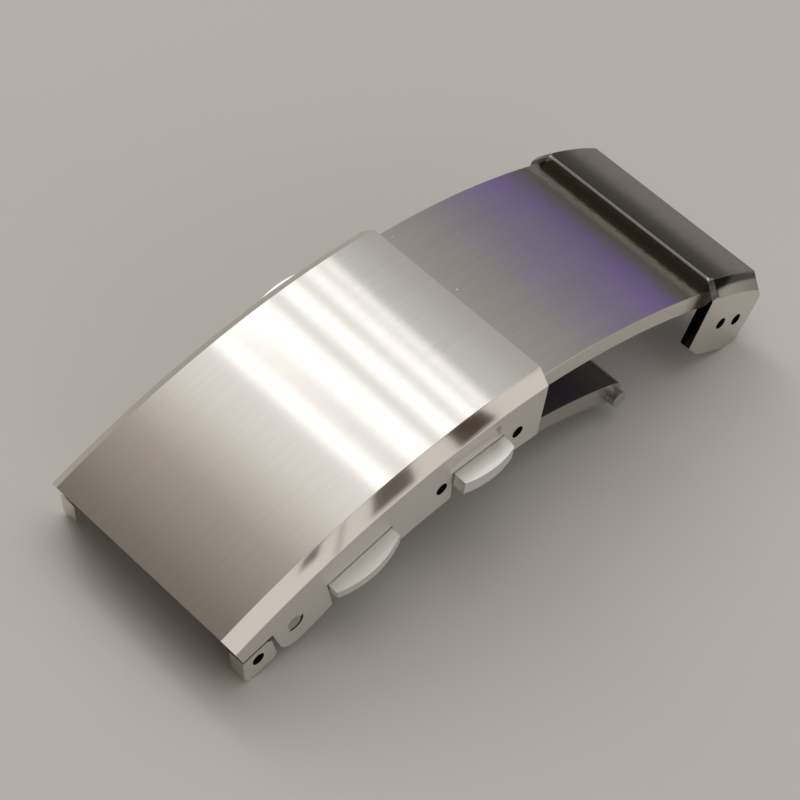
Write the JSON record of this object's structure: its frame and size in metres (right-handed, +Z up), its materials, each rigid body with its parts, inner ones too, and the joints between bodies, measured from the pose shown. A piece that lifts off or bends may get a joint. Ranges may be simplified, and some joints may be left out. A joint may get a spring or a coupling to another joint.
{
  "type": "folding watch clasp",
  "caption": "Curved steel folding clasp for a watch bracelet: a bevelled cover over two nested blades, side push buttons and a slide-out extension plate with an end cap.",
  "frame": {"origin": "centre of the bounding box's bottom face: the clasp stands on its lugs and on the end cap's cheeks", "axes": "+X from the closed, hinged end towards the end cap, +Y across the wrist, +Z up out of the brushed top"},
  "size_m": [0.0572, 0.0232, 0.0128],
  "materials": {
    "brushed_cover": "lengthwise brushed top with polished bevels",
    "inner_steel": "satin",
    "pin_steel": "turned",
    "blade_steel": "satin",
    "lug_steel": "satin",
    "button_steel": "bright satin",
    "spring_steel": "drawn wire",
    "extension_steel": "worn satin with a violet heat tint",
    "cap_steel": "brushed top with polished bevels"
  },
  "bodies": {
    "cover": {"cover_shell": "brushed_cover", "bridge_plate": "inner_steel", "bridge_pin_inner": "pin_steel", "bridge_pin_outer": "pin_steel", "hinge_pin": "pin_steel", "release_spring_near": "spring_steel", "release_spring_far": "spring_steel", "extension_spring_near": "spring_steel", "extension_spring_far": "spring_steel"},
    "outer_blade_body": {"outer_blade": "blade_steel", "fold_pin": "pin_steel"},
    "inner_blade_body": {"inner_blade": "blade_steel", "lug_fork": "lug_steel", "catch_post": "inner_steel"},
    "extension": {"extension_plate": "extension_steel", "end_cap": "cap_steel"},
    "release_near": {"release_button_near": "button_steel"},
    "release_far": {"release_button_far": "button_steel"},
    "extension_near": {"extension_button_near": "button_steel"},
    "extension_far": {"extension_button_far": "button_steel"}
  },
  "joints": [
    {"name": "blade_hinge", "type": "hinge", "parent": "cover", "child": "outer_blade_body", "pos_m": [-0.02236, 0, 0.00357], "axis": [0, 1, 0], "range_deg": [0, 165]},
    {"name": "blade_fold", "type": "hinge", "parent": "outer_blade_body", "child": "inner_blade_body", "pos_m": [0.01262, 0, 0.0024], "axis": [0, 1, 0], "range_deg": [-165, 0]},
    {"name": "extension_slide", "type": "hinge", "parent": "cover", "child": "extension", "pos_m": [0.00108, 0, -0.05035], "axis": [0, 1, 0], "range_deg": [-18.51, 0]},
    {"name": "release_near_press", "type": "slide", "parent": "cover", "child": "release_near", "axis": [0, 1, 0], "range_m": [0, 0.0009], "stiffness_N_per_m": 300, "springref_m": -0.0015, "deforming": ["release_spring_near"]},
    {"name": "release_far_press", "type": "slide", "parent": "cover", "child": "release_far", "axis": [0, -1, 0], "range_m": [0, 0.0009], "stiffness_N_per_m": 300, "springref_m": -0.0015, "deforming": ["release_spring_far"]},
    {"name": "extension_near_press", "type": "slide", "parent": "cover", "child": "extension_near", "axis": [0, 1, 0], "range_m": [0, 0.0009], "stiffness_N_per_m": 300, "springref_m": -0.0015, "deforming": ["extension_spring_near"]},
    {"name": "extension_far_press", "type": "slide", "parent": "cover", "child": "extension_far", "axis": [0, -1, 0], "range_m": [0, 0.0009], "stiffness_N_per_m": 300, "springref_m": -0.0015, "deforming": ["extension_spring_far"]}
  ],
  "couplings": [
    {"joint": "blade_fold", "follows": "blade_hinge", "ratio": -1}
  ]
}
